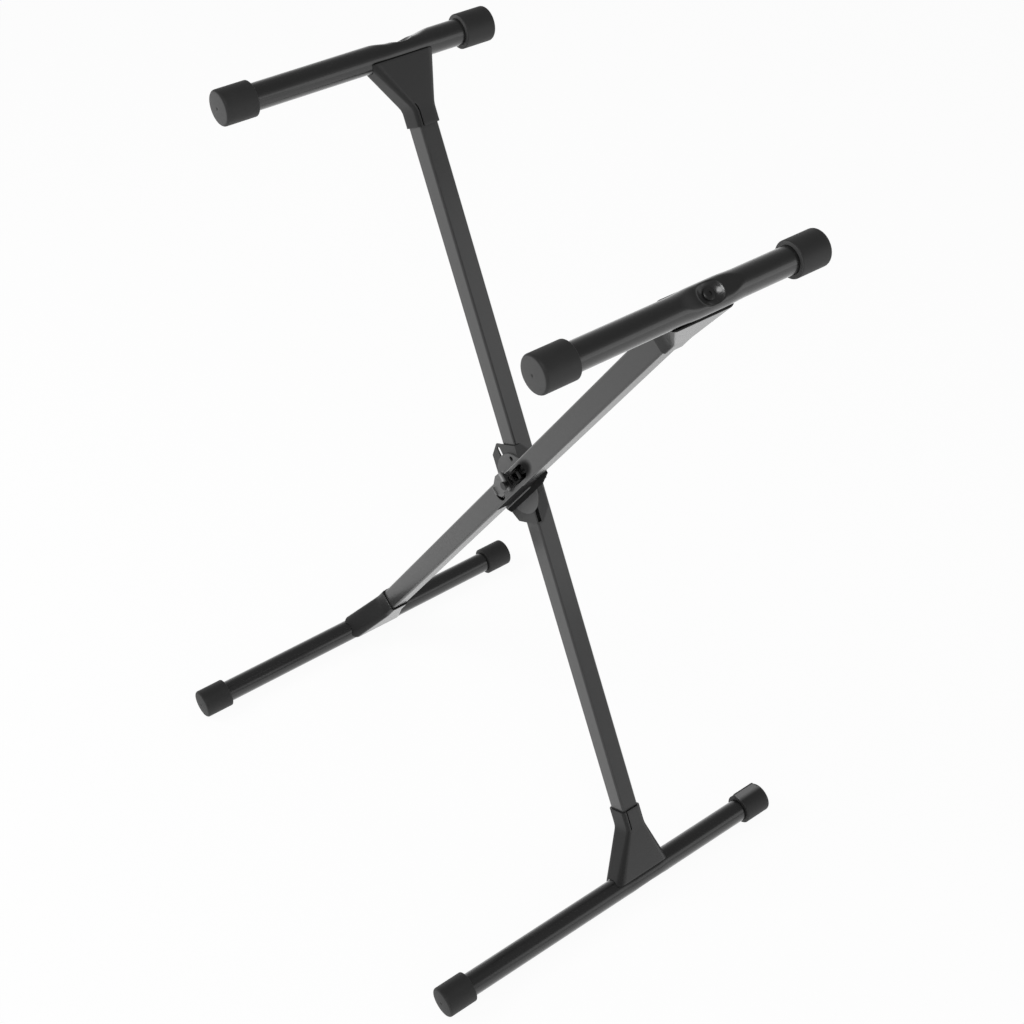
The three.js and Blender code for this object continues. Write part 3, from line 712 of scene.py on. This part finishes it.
def carve(mesh, cutters):
    """Cuts a mesh by others, in the same frame."""
    body = object_of("carved", mesh)
    for cutter in cutters:
        tool = object_of("cutter", cutter)
        cutting = body.modifiers.new("cut", "BOOLEAN")
        cutting.operation = "DIFFERENCE"
        cutting.solver = "EXACT"
        cutting.object = tool
        apply_modifiers(body)
        bpy.data.objects.remove(tool)
    carved = bmesh.new()
    carved.from_mesh(body.data)
    bpy.data.objects.remove(body)
    return carved


def piece(
    name, mesh, place, body, slot, nodes, edge=0.0, segments=2, angle=50, look=None
):
    """Places a piece: its mesh in metres, edges rounded where they turn by more than the
    angle, its finish, its body and the CAD nodes that it stands for."""
    bmesh.ops.transform(mesh, matrix=place, verts=mesh.verts)
    made = object_of(name, mesh)
    if edge:
        rounding = made.modifiers.new("rounded_edges", "BEVEL")
        rounding.width = edge * MM
        rounding.segments = segments
        rounding.limit_method = "ANGLE"
        rounding.angle_limit = math.radians(angle)
        rounding.use_clamp_overlap = True
        apply_modifiers(made)
    made.data.polygons.foreach_set("use_smooth", [True] * len(made.data.polygons))
    made.data.set_sharp_from_angle(angle=SHARP_ANGLE)
    evenly = made.modifiers.new("even_shading", "WEIGHTED_NORMAL")
    evenly.keep_sharp = True
    apply_modifiers(made)
    made.data.materials.clear()
    made.data.materials.append(FINISH[look or slot])
    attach(made, body)
    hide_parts(*nodes)


def clamp(t):
    return min(1.0, max(0.0, t))


def smooth(t):
    """An S-shaped step from 0 to 1."""
    t = clamp(t)
    return t * t * (3 - 2 * t)


def ramp_with_soft_top(t, softness):
    """A straight ramp from 0 to 1 that levels out over its last part."""
    t = clamp(t)
    if t > 1 - softness:
        return 1 - (1 - t) ** 2 / (2 * softness)
    return t * (1 - softness / 2) / (1 - softness)


def soft_low(a, b, width):
    """The lower of two heights, with a soft crease between them."""
    share = clamp(0.5 + (b - a) / (2 * width))
    return b * (1 - share) + a * share - width * share * (1 - share)


def spread(start, end, count):
    """Even steps from start to end, both included."""
    return [start + (end - start) * i / count for i in range(count + 1)]


def arc_points(centre, radius, start, end, count):
    """Points of an arc, with angles in degrees."""
    x, y = centre
    turns = [math.radians(degrees) for degrees in spread(start, end, count)]
    return [(x + radius * math.cos(turn), y + radius * math.sin(turn)) for turn in turns]


# ---- Bars ----


def press_depth(x, y):
    """How far the press pushes the bar's skin in, beside the bolt: by a flattening along the
    bar, and by a round dimple whose floor is the bolt's seat."""
    wide = smooth((PRESS_REACH - abs(y)) / (PRESS_REACH - PRESS_RIM))
    distance = max(PRESS_SEAT, math.hypot(x, y))
    dimple = max(0.0, 1 - (distance / PRESS_RIM) ** 2)
    return PRESS_SHALLOW * wide, PRESS_DEEP * dimple


def bar_skin(radius, half, bolt_y, side):
    """Rings of one skin of a bar, with the pressed seat of its bolt."""
    reach = PRESS_REACH + PRESS_MARGIN
    rings = []
    for y in [-half, *spread(bolt_y - reach, bolt_y + reach, PRESS_STEPS), half]:
        ring = []
        for i in range(BAR_SIDES):
            turn = 2 * math.pi * (i + 0.5) / BAR_SIDES
            x = radius * math.sin(turn)
            z = radius * math.cos(turn)
            wide, dimple = press_depth(x, y - bolt_y)
            if wide > 0:
                crease = min(PRESS_CREASE, PRESS_CREASE_GROWTH * wide)
                z = soft_low(z, radius - wide, crease)
            if dimple > 0:
                crease = DIMPLE_CREASE * min(1, dimple)
                z = soft_low(z, radius - wide - dimple, crease)
            bulge = 1 + PRESS_BULGE * wide / PRESS_SHALLOW
            ring.append((x * bulge, y, side * z))
        rings.append(ring)
    return rings


def add_bar(leg, end):
    half = BAR_LENGTH[end] / 2 - CAP_END - CLEARANCE
    skins = [
        bar_skin(radius, half, LEG_Y[leg], SIDE[end])
        for radius in (BAR_RADIUS, BAR_RADIUS - BAR_WALL)
    ]
    place = leg_frame(leg) @ Matrix.Translation((0, 0, REACH[end]))
    name = f"{leg}_{end}_bar"
    piece(
        f"{name}_tube", shell(*skins), place, BODY[leg], "powder_coat", [name], look="bar_coat"
    )


# ---- Rubber caps ----


def round_section(turn):
    return CAP_RADIUS


def cornered_section(turn):
    """The levelling cap's outline: round, with one square corner beside its top."""
    turn = (turn + math.pi) % (2 * math.pi) - math.pi
    if not -CORNER_SECTOR < turn < 0:
        return CAP_RADIUS
    top = CAP_RADIUS / math.cos(turn)
    flank = -LEVELLER_REACH / math.sin(turn)
    return max(CAP_RADIUS, soft_low(top, flank, CORNER_ROUNDING))


def cap_profile():
    """(inset from the outline, distance from the closed end): the domed end with its gate
    mark, the rounded edge, the side and the lip of the mouth."""
    points = [(CAP_RADIUS - radius, depth) for radius, depth in GATE_PIT]
    pit_radius = GATE_PIT[-1][0]
    face = CAP_RADIUS - CAP_EDGE
    for radius in spread(pit_radius, face, CAP_STEPS)[1:]:
        points.append((CAP_RADIUS - radius, CAP_DOME * (radius / face) ** 2))
    shoulder = CAP_EDGE + CAP_DOME
    points += arc_points((CAP_EDGE, shoulder), CAP_EDGE, 270, 180, CAP_STEPS)[1:]
    points += [(0, along) for along in spread(shoulder, CORNER_FULL, CAP_STEPS)[1:]]
    points += arc_points((CAP_LIP, CAP_LENGTH - CAP_LIP), CAP_LIP, 180, 90, LIP_STEPS)
    return points


def add_cap(leg, end, sign):
    levelling = leg == "rear" and end == "foot" and sign > 0
    outline = cornered_section if levelling else round_section
    turns = [2 * math.pi * i / CAP_SIDES for i in range(CAP_SIDES)]

    def ring(along, radius_at):
        y = sign * (BAR_LENGTH[end] / 2 - along)
        return [(radius_at(t) * math.sin(t), y, radius_at(t) * math.cos(t)) for t in turns]

    def outer_ring(inset, along):
        corner = smooth((along - CORNER_START) / CORNER_RISE)

        def radius_at(turn):
            reach = CAP_RADIUS + (outline(turn) - CAP_RADIUS) * corner
            return max(reach - inset, POINT_RADIUS)

        return ring(along, radius_at)

    bore = BAR_RADIUS + CLEARANCE
    rings = [outer_ring(inset, along) for inset, along in cap_profile()]
    rings.append(ring(CAP_LENGTH, lambda turn: bore))
    rings.append(ring(CAP_END, lambda turn: bore))
    rings.append(ring(CAP_END, lambda turn: POINT_RADIUS))
    place = (
        leg_frame(leg)
        @ Matrix.Translation((0, 0, REACH[end]))
        @ Matrix.Rotation(-LEAN_SIDE[leg] * LEAN, 4, "Y")
    )
    spot = "far" if sign > 0 else "near"
    node = "levelling_cap" if levelling else f"{leg}_{end}_cap_{spot}"
    body = "leveller" if levelling else BODY[leg]
    look = "leveller_rubber" if levelling else "cap_rubber"
    piece(f"{node}_rubber", body_of_rings(rings), place, body, "cap_rubber", [node], look=look)


# ---- Gussets ----


def gusset_section(x_half, y_low, y_high, radius):
    """A rounded rectangle, always with the same number of points. The slit lies between its
    last point and its first."""
    points = [(x_half, y_low + radius + SLIT_WIDTH)]
    corners = (
        (x_half - radius, y_high - radius),
        (-x_half + radius, y_high - radius),
        (-x_half + radius, y_low + radius),
        (x_half - radius, y_low + radius),
    )
    for quarter, corner in enumerate(corners):
        bend = arc_points(corner, radius, 90 * quarter, 90 * (quarter + 1), BEND_STEPS)
        before = points[-1]
        for i in range(1, FLAT_STEPS):
            share = i / FLAT_STEPS
            points.append((
                before[0] + (bend[0][0] - before[0]) * share,
                before[1] + (bend[0][1] - before[1]) * share,
            ))
        points += bend
    return points


def gusset_rings(leg, end, skin):
    """One skin of the folded sheet. Each column of points runs from the bar to the leg."""
    size = GUSSET[end]
    collar_x = LEG_DEPTH / 2 + CLEARANCE + skin
    collar_y = LEG_WIDTH / 2 + CLEARANCE + skin
    plate_x = BAR_RADIUS + CLEARANCE + skin

    def section(along):
        climb = (along - size["plate_end"]) / (size["knee"] - size["plate_end"])
        share = 1 - ramp_with_soft_top(climb, KNEE_SOFTNESS)
        return gusset_section(
            collar_x + (plate_x - collar_x) * share,
            -collar_y - FLARE_FRONT * share,
            collar_y + FLARE_REAR * share,
            GUSSET_BEND + skin + GUSSET_BEND_GROWTH * share,
        )

    def place(along, x, y):
        return (-LEAN_SIDE[leg] * x, LEG_Y[leg] + y, REACH[end] - SIDE[end] * along)

    cope = BAR_RADIUS + CLEARANCE
    starts = [
        max(size["plate_end"], math.sqrt(max(0.0, cope ** 2 - x * x)))
        for x, _ in section(size["plate_end"])
    ]
    slit_start = size["collar_end"] - SLIT_LENGTH
    rings = []
    for level in spread(0, 1, GUSSET_STEPS):
        ring = []
        for i, start in enumerate(starts):
            along = start + (slit_start - start) * level
            ring.append(place(along, *section(along)[i]))
        rings.append(ring)
    for along in spread(slit_start, size["collar_end"], SLIT_STEPS)[1:]:
        rings.append([place(along, x, y) for x, y in section(along)])
    return rings


def add_gusset(leg, end):
    """A gusset's two skins, closed along the bar, the collar and the slit."""
    mesh = bmesh.new()
    outs, inns = (
        [[mesh.verts.new(p) for p in ring] for ring in gusset_rings(leg, end, skin)]
        for skin in (SHEET, 0)
    )
    count = len(outs[0])
    slit_from = len(outs) - 1 - SLIT_STEPS
    for k in range(len(outs) - 1):
        for i in range(count):
            j = (i + 1) % count
            if i == count - 1 and k >= slit_from:
                continue
            mesh.faces.new((outs[k][i], outs[k][j], outs[k + 1][j], outs[k + 1][i]))
            mesh.faces.new((inns[k][i], inns[k + 1][i], inns[k + 1][j], inns[k][j]))
    for i in range(count):
        j = (i + 1) % count
        mesh.faces.new((outs[0][j], outs[0][i], inns[0][i], inns[0][j]))
        if i < count - 1:
            mesh.faces.new((outs[-1][i], outs[-1][j], inns[-1][j], inns[-1][i]))
    for k in range(slit_from, len(outs) - 1):
        for i in (0, count - 1):
            mesh.faces.new((outs[k][i], outs[k + 1][i], inns[k + 1][i], inns[k][i]))
    slit_out, slit_in = outs[slit_from], inns[slit_from]
    mesh.faces.new((slit_out[0], slit_out[-1], slit_in[-1], slit_in[0]))
    bmesh.ops.recalc_face_normals(mesh, faces=mesh.faces)
    name = f"{leg}_{end}_gusset"
    piece(
        f"{name}_sheet", mesh, leg_frame(leg), BODY[leg], "gusset_coat", [name],
        edge=GUSSET_EDGE
    )


# ---- Legs ----


def rounded_rectangle(width, depth, radius):
    """Points of a rounded rectangle, depth along X and width along Y."""
    points = []
    for quarter, (sx, sy) in enumerate(((1, 1), (-1, 1), (-1, -1), (1, -1))):
        centre = (sx * (depth / 2 - radius), sy * (width / 2 - radius))
        start = 90 * quarter
        points += arc_points(centre, radius, start, start + 90, LEG_CORNER_STEPS)
    return points


def leg_tube_mesh(leg):
    gap = BAR_RADIUS + CLEARANCE
    ends = (REACH["foot"] + gap, REACH["arm"] - gap)
    outer = rounded_rectangle(LEG_WIDTH, LEG_DEPTH, LEG_CORNER)
    inner = rounded_rectangle(
        LEG_WIDTH - 2 * LEG_WALL, LEG_DEPTH - 2 * LEG_WALL, LEG_CORNER - LEG_WALL
    )
    rings = [
        [[(x, LEG_Y[leg] + y, z) for x, y in outline] for z in ends]
        for outline in (outer, inner)
    ]
    return shell(*rings)


def window_cutter(y0, y1):
    """What cuts the long round-ended window into the front leg's outer wall."""
    lower = arc_points((0, WINDOW_START + WINDOW_HALF), WINDOW_HALF, 180, 360, WINDOW_STEPS)
    upper = arc_points((0, WINDOW_END - WINDOW_HALF), WINDOW_HALF, 0, 180, WINDOW_STEPS)
    return body_of_rings([[(x, y, z) for x, z in lower + upper] for y in (y0, y1)])


def add_legs():
    piece(
        "rear_leg_square_tube", leg_tube_mesh("rear"), leg_frame("rear"), "root",
        "powder_coat", ["rear_leg_tube"], look="rear_leg_coat"
    )
    outer_wall = LEG_Y["front"] - LEG_WIDTH / 2
    through = (outer_wall - CUTTER_OUTSIDE, outer_wall + LEG_WALL + CUTTER_INSIDE)
    hinge_y = outer_wall + LEVER_HINGE_DEPTH
    cutters = [
        window_cutter(*through),
        rod_mesh(ACCESS_RADIUS, (0, through[0], 0), (0, through[1], 0)),
        rod_mesh(
            HINGE_PIN_RADIUS + CLEARANCE,
            (-LEG_DEPTH, hinge_y, LEVER_HINGE),
            (LEG_DEPTH, hinge_y, LEVER_HINGE),
            HINGE_HOLE_SIDES,
        ),
    ]
    piece(
        "front_leg_square_tube", carve(leg_tube_mesh("front"), cutters), leg_frame("front"),
        "front_frame", "powder_coat", ["front_leg_tube"], edge=WINDOW_EDGE,
        look="front_leg_coat"
    )


# ---- Small pieces, with the edges that pressing and turning leave ----

# Each node's body, slot and edge radius.
EDGED = {
    "saddle_plate": ("root", "hub_coat", 0.4),
    "locking_disc": ("root", "hub_coat", 0.35),
    "guide_plate": ("front_frame", "black_plastic", 0.4),
    "release_lever": ("lever", "hub_coat", 0.5),
    "nut_washer": ("root", "black_steel", 0.3),
    "pivot_nut": ("root", "black_steel", 0.6),
    "pivot_bolt": ("root", "black_steel", 0.5),
    "head_washer": ("front_frame", "black_steel", 0.3),
    "saddle_rivet_1": ("root", "black_steel", 0.5),
    "saddle_rivet_2": ("root", "black_steel", 0.5),
    "guide_rivet_1": ("front_frame", "black_steel", 0.4),
    "guide_rivet_2": ("front_frame", "black_steel", 0.4),
    "rear_arm_bolt": ("root", "black_steel", 0.3),
    "rear_foot_bolt": ("root", "black_steel", 0.3),
    "front_arm_bolt": ("front_frame", "black_steel", 0.3),
    "front_foot_bolt": ("front_frame", "black_steel", 0.3),
}
OWN_LOOK = {
    "release_lever": "lever_coat",
    "locking_disc": "disc_coat",
    "guide_plate": "guide_coat",
}


def flatten_head(mesh, leg, end):
    """A bar bolt's button head is lower than the CAD model's plain cylinder."""
    place = (
        Matrix.Scale(1 / MM, 4) @ leg_frame(leg) @ Matrix.Translation((0, 0, REACH[end]))
    )
    seat = BAR_RADIUS - PRESS_SHALLOW - PRESS_DEEP * (1 - (PRESS_SEAT / PRESS_RIM) ** 2)
    bmesh.ops.transform(mesh, matrix=place.inverted(), verts=mesh.verts)
    for vert in mesh.verts:
        over = SIDE[end] * vert.co.z - seat - HEAD_FOOT
        if over > 0:
            vert.co.z -= SIDE[end] * over * HEAD_FLATNESS
    bmesh.ops.transform(mesh, matrix=place, verts=mesh.verts)


def add_edged():
    for node, (body, slot, edge) in EDGED.items():
        mesh = from_node(node)
        if node.endswith(("_arm_bolt", "_foot_bolt")):
            leg, end, _ = node.split("_")
            flatten_head(mesh, leg, end)
        piece(
            f"{node}_finished", mesh, Matrix.Scale(MM, 4), body, slot, [node],
            edge=edge, segments=3, angle=35, look=OWN_LOOK.get(node)
        )


def dress_inner_nodes():
    """The inner pieces keep their CAD shape and get their finish."""
    slots = {part["node"]: part["material_slot"] for part in frame["record"]["subparts"]}
    for name, node in frame["nodes"].items():
        if node.hide_render:
            continue
        node.data.materials.clear()
        node.data.materials.append(FINISH[slots[name]])


# ---- Assembly ----

for leg in ("rear", "front"):
    for end in ("arm", "foot"):
        add_bar(leg, end)
        add_gusset(leg, end)
        for sign in (-1, 1):
            add_cap(leg, end, sign)
add_legs()
add_edged()
dress_inner_nodes()

# ---- Floor, backdrop and light, in metres and watts ----

WHITE = grey(1.0)
PAPER = grey(0.8)
FLOOR_LEVEL = 0.95
FLOOR_HALF = 60
FLOOR_DROP = 0.0002

SIDE_GLOW = 0.62
TOP_GLOW = 0.22
GLOW_HEIGHTS = (0.05, 0.75)


def backdrop_paint(name, level):
    """Pale where the camera, a reflection or a refraction sees it, and plain paper for all
    other light."""
    paint = Paint(bpy.data.materials.new(name))
    path = paint.node("ShaderNodeLightPath", output="Is Camera Ray")
    gloss = paint.node("ShaderNodeLightPath", output="Is Glossy Ray")
    clear = paint.node("ShaderNodeLightPath", output="Is Transmission Ray")
    paper = paint.node("ShaderNodeBsdfDiffuse", {}, {"Color": PAPER})
    glow = paint.node("ShaderNodeEmission", {}, {"Color": WHITE, "Strength": 1.0})
    seen = (path + gloss + clear) * level
    mixed = paint.node("ShaderNodeMixShader", {}, {0: seen, 1: paper, 2: glow})
    paint.node("ShaderNodeOutputMaterial", {}, {"Surface": mixed})
    return paint.owner


def add_floor():
    mesh = bmesh.new()
    bmesh.ops.create_grid(mesh, x_segments=1, y_segments=1, size=FLOOR_HALF)
    floor = object_of("floor", mesh)
    floor.location.z = -FLOOR_DROP
    floor.data.materials.append(backdrop_paint("floor_paper", FLOOR_LEVEL))


def add_world():
    """A studio that is white round the floor and dim overhead. The camera sees white."""
    world = bpy.data.worlds.new("studio")
    bpy.context.scene.world = world
    studio = Paint(world)
    direction = studio.node("ShaderNodeTexCoord", output="Generated")
    rise = studio.node("ShaderNodeSeparateXYZ", {}, {"Vector": direction}, output="Z")
    height = studio.ramp(rise, *GLOW_HEIGHTS)
    strength = SIDE_GLOW + height * (TOP_GLOW - SIDE_GLOW)
    lit = studio.node("ShaderNodeBackground", {}, {"Color": WHITE, "Strength": strength})
    seen = studio.node("ShaderNodeBackground", {}, {"Color": WHITE})
    path = studio.node("ShaderNodeLightPath", output="Is Camera Ray")
    mixed = studio.node("ShaderNodeMixShader", {}, {0: path, 1: lit, 2: seen})
    studio.node("ShaderNodeOutputWorld", {}, {"Surface": mixed})


def add_softbox(name, place, aim, size, watts, mirrored):
    """An area light. The glossy pieces show it only if it is mirrored."""
    data = bpy.data.lights.new(name, "AREA")
    data.shape = "RECTANGLE"
    data.size, data.size_y = size
    data.energy = watts
    lamp = bpy.data.objects.new(name, data)
    lamp.location = place
    lamp.rotation_euler = (Vector(aim) - Vector(place)).to_track_quat("-Z", "Y").to_euler()
    lamp.visible_camera = False
    lamp.visible_glossy = mirrored
    bpy.context.scene.collection.objects.link(lamp)


# Each softbox's place, aim, size, watts, and whether it is mirrored.
SOFTBOXES = {
    "key_softbox": ((-1.1, -1.6, 1.6), (0, 0, 0.5), (1.1, 1.1), 32, False),
    "fill_softbox": ((2.6, -1.2, 1.2), (0, 0, 0.45), (1.2, 1.2), 13, False),
    "right_softbox": ((2.3, 1.4, 1.15), (0, 0, 0.5), (1.5, 1.1), 4, True),
    "overhead_softbox": ((0.95, -0.75, 2.9), (0.1, 0, 0.5), (0.75, 0.75), 14, True),
    "top_softbox": ((-0.4, 1.0, 2.6), (0, 0, 0.4), (1.2, 0.6), 10, False),
}

add_floor()
add_world()
for name, values in SOFTBOXES.items():
    add_softbox(name, *values)

# ---- Camera, at the photograph's viewing angle ----

VIEW_AZIMUTH = math.radians(49.86)
VIEW_HEIGHT = math.radians(43.46)
VIEW_ROLL = math.radians(3.72)
FOCAL_PIXELS = 1674.4
IMAGE_PIXELS = 1024
EYE = Vector((1029.0, -834.6, 1689.0))
SENSOR_WIDTH = 36
FAR_CLIP_METRES = 30


def add_camera():
    forward = Vector((
        -math.sin(VIEW_AZIMUTH) * math.cos(VIEW_HEIGHT),
        math.cos(VIEW_AZIMUTH) * math.cos(VIEW_HEIGHT),
        -math.sin(VIEW_HEIGHT),
    ))
    level = Vector((math.cos(VIEW_AZIMUTH), math.sin(VIEW_AZIMUTH), 0))
    rise = level.cross(forward)
    right = math.cos(VIEW_ROLL) * level + math.sin(VIEW_ROLL) * rise
    up = math.cos(VIEW_ROLL) * rise - math.sin(VIEW_ROLL) * level
    data = bpy.data.cameras.new("camera")
    data.sensor_width = SENSOR_WIDTH
    data.sensor_fit = "HORIZONTAL"
    data.lens = FOCAL_PIXELS / IMAGE_PIXELS * SENSOR_WIDTH
    data.clip_end = FAR_CLIP_METRES
    camera = bpy.data.objects.new("camera", data)
    turned = Matrix((right, up, -forward)).transposed().to_4x4()
    camera.matrix_world = Matrix.Translation(EYE * MM) @ turned
    bpy.context.scene.collection.objects.link(camera)
    bpy.context.scene.camera = camera


add_camera()
bpy.context.scene.view_settings.view_transform = "Standard"
